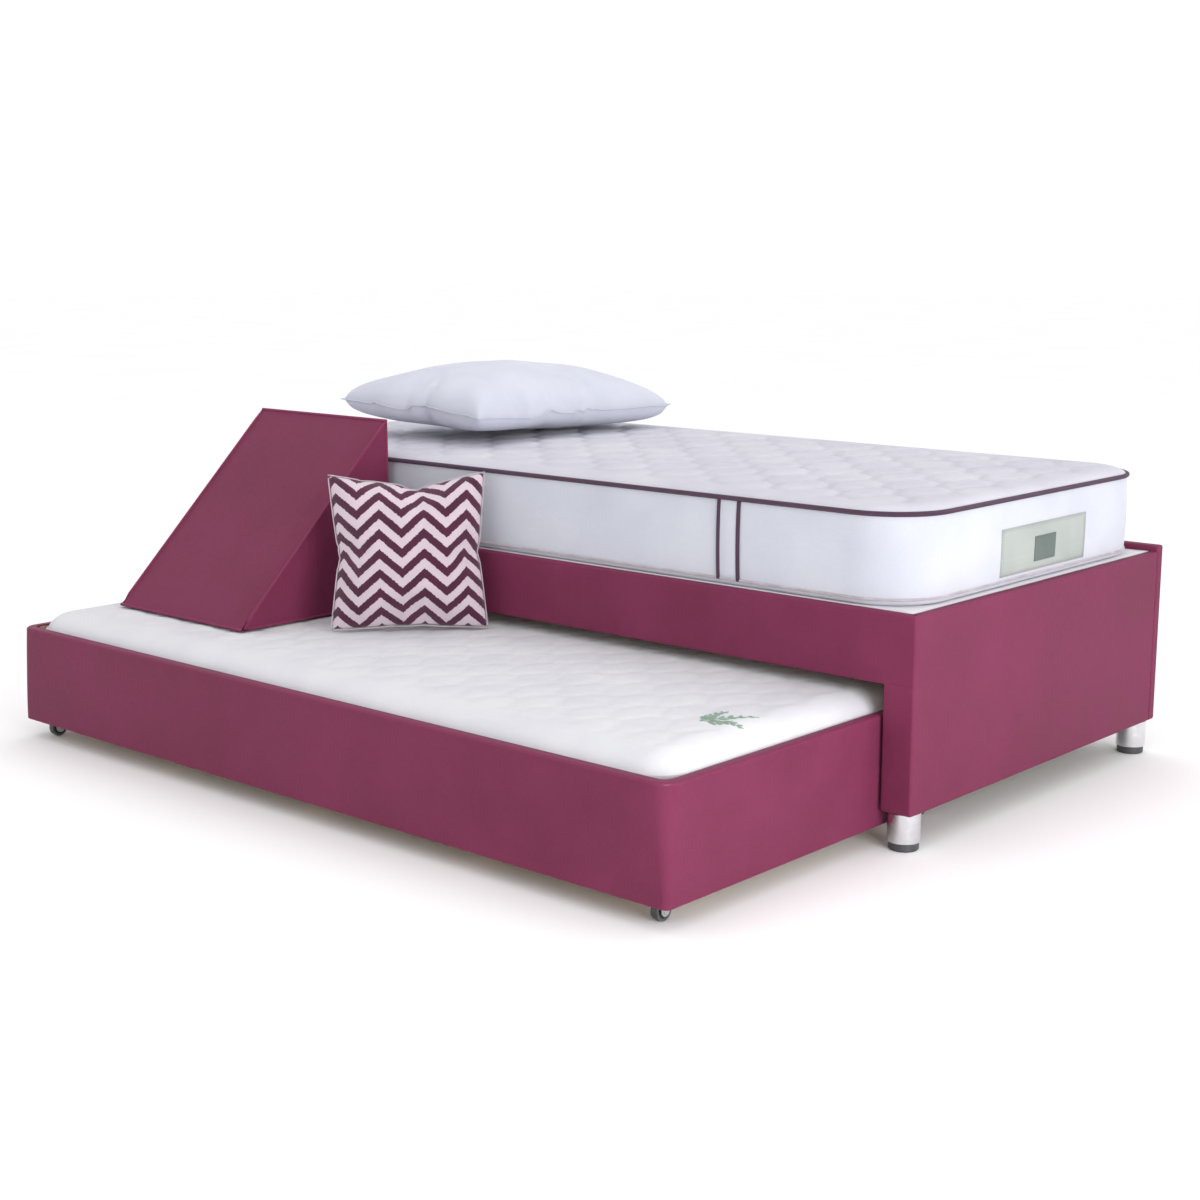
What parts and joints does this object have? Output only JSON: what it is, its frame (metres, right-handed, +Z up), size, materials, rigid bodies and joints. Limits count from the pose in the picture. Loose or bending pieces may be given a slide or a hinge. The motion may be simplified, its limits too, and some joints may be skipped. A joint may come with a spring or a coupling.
{
  "type": "trundle bed",
  "caption": "Upholstered divan bed with a mattress, over another mattress in a drawer on casters that rolls out from its front; loose pillow, cushion and wedge.",
  "frame": {"origin": "on the floor, at the middle of the object's bounding box with the trundle pulled out 580 mm", "axes": "+X towards the foot end along the bed, -Y towards the front where the trundle rolls out, +Z up"},
  "size_m": [1.96, 1.52, 0.7805],
  "materials": {
    "upholstery": "satin grained leatherette with stitched seams",
    "deck_cloth": "pale matt non-woven cloth",
    "mattress_ticking": "quilted knitted ticking with dark piping",
    "trundle_ticking": "quilted knitted ticking",
    "label_cloth": "woven satin patch, plain",
    "pillow_cotton": "smooth cotton",
    "chevron_cloth": "woven cotton with a zigzag print",
    "chrome": "polished",
    "foot_plastic": "matt moulded",
    "rubber": "matt",
    "wheel_plastic": "satin moulded nylon",
    "zinc_steel": "zinc plated",
    "board": "raw plywood",
    "timber": "planed pine"
  },
  "bodies": {
    "divan": {"back_board": "board", "back_cover": "upholstery", "bearer_brackets": "zinc_steel", "corner_post_front_foot": "timber", "corner_post_front_head": "timber", "corner_post_rear_foot": "timber", "corner_post_rear_head": "timber", "deck_bearer_1": "timber", "deck_bearer_2": "timber", "deck_bearer_3": "timber", "deck_bearer_4": "timber", "deck_board_foot": "board", "deck_board_head": "board", "deck_cloth": "deck_cloth", "deck_screws": "zinc_steel", "fascia_board": "board", "foot_bolts": "zinc_steel", "foot_cup_front_foot": "chrome", "foot_cup_front_head": "chrome", "foot_cup_rear_foot": "chrome", "foot_cup_rear_head": "chrome", "foot_end_board": "board", "foot_end_cover": "upholstery", "foot_ledger": "timber", "foot_pad_front_foot": "foot_plastic", "foot_pad_front_head": "foot_plastic", "foot_pad_rear_foot": "foot_plastic", "foot_pad_rear_head": "foot_plastic", "front_beam": "timber", "front_cover": "upholstery", "front_stile_foot": "board", "front_stile_head": "board", "head_end_board": "board", "head_end_cover": "upholstery", "head_ledger": "timber", "rear_ledger": "timber", "trundle_bumpers": "rubber"},
    "trundle": {"caster_axles": "zinc_steel", "caster_bracket_front_foot": "zinc_steel", "caster_bracket_front_head": "zinc_steel", "caster_bracket_rear_foot": "zinc_steel", "caster_bracket_rear_head": "zinc_steel", "caster_screws": "zinc_steel", "trundle_base": "board", "trundle_battens": "timber", "trundle_cover": "upholstery", "trundle_foot_board": "board", "trundle_front_board": "board", "trundle_head_board": "board", "trundle_mattress": "trundle_ticking", "trundle_rear_board": "board"},
    "caster_wheel_front_foot": {"caster_wheel_front_foot": "wheel_plastic"},
    "caster_wheel_front_head": {"caster_wheel_front_head": "wheel_plastic"},
    "caster_wheel_rear_foot": {"caster_wheel_rear_foot": "wheel_plastic"},
    "caster_wheel_rear_head": {"caster_wheel_rear_head": "wheel_plastic"},
    "bed_mattress": {"bed_mattress": "mattress_ticking", "mattress_label": "label_cloth"},
    "pillow": {"pillow": "pillow_cotton"},
    "scatter_cushion": {"scatter_cushion": "chevron_cloth"},
    "wedge_bolster": {"wedge_bolster": "upholstery"}
  },
  "joints": [
    {"name": "trundle_slide", "type": "slide", "parent": "divan", "child": "trundle", "axis": [0, -1, 0], "range_m": [-0.58, 0.27]},
    {"name": "caster_front_foot_spin", "type": "hinge", "parent": "trundle", "child": "caster_wheel_front_foot", "pos_m": [0.84, -0.712, 0.019], "axis": [1, 0, 0], "continuous": true},
    {"name": "caster_front_head_spin", "type": "hinge", "parent": "trundle", "child": "caster_wheel_front_head", "pos_m": [-0.84, -0.712, 0.019], "axis": [1, 0, 0], "continuous": true},
    {"name": "caster_rear_foot_spin", "type": "hinge", "parent": "trundle", "child": "caster_wheel_rear_foot", "pos_m": [0.84, 0.042, 0.019], "axis": [1, 0, 0], "continuous": true},
    {"name": "caster_rear_head_spin", "type": "hinge", "parent": "trundle", "child": "caster_wheel_rear_head", "pos_m": [-0.84, 0.042, 0.019], "axis": [1, 0, 0], "continuous": true},
    {"name": "bed_mattress_lift", "type": "slide", "parent": "divan", "child": "bed_mattress", "axis": [0, 0, 1], "range_m": [0, 0.5]},
    {"name": "pillow_lift", "type": "slide", "parent": "bed_mattress", "child": "pillow", "axis": [0, 0, 1], "range_m": [0, 0.3]},
    {"name": "cushion_lift", "type": "slide", "parent": "divan", "child": "scatter_cushion", "axis": [0, 0, 1], "range_m": [0, 0.5]},
    {"name": "wedge_lift", "type": "slide", "parent": "divan", "child": "wedge_bolster", "axis": [0, 0, 1], "range_m": [0, 0.6]}
  ],
  "couplings": [
    {"joint": "caster_front_foot_spin", "follows": "trundle_slide", "rad_per_m": 52.632},
    {"joint": "caster_front_head_spin", "follows": "trundle_slide", "rad_per_m": 52.632},
    {"joint": "caster_rear_foot_spin", "follows": "trundle_slide", "rad_per_m": 52.632},
    {"joint": "caster_rear_head_spin", "follows": "trundle_slide", "rad_per_m": 52.632}
  ]
}
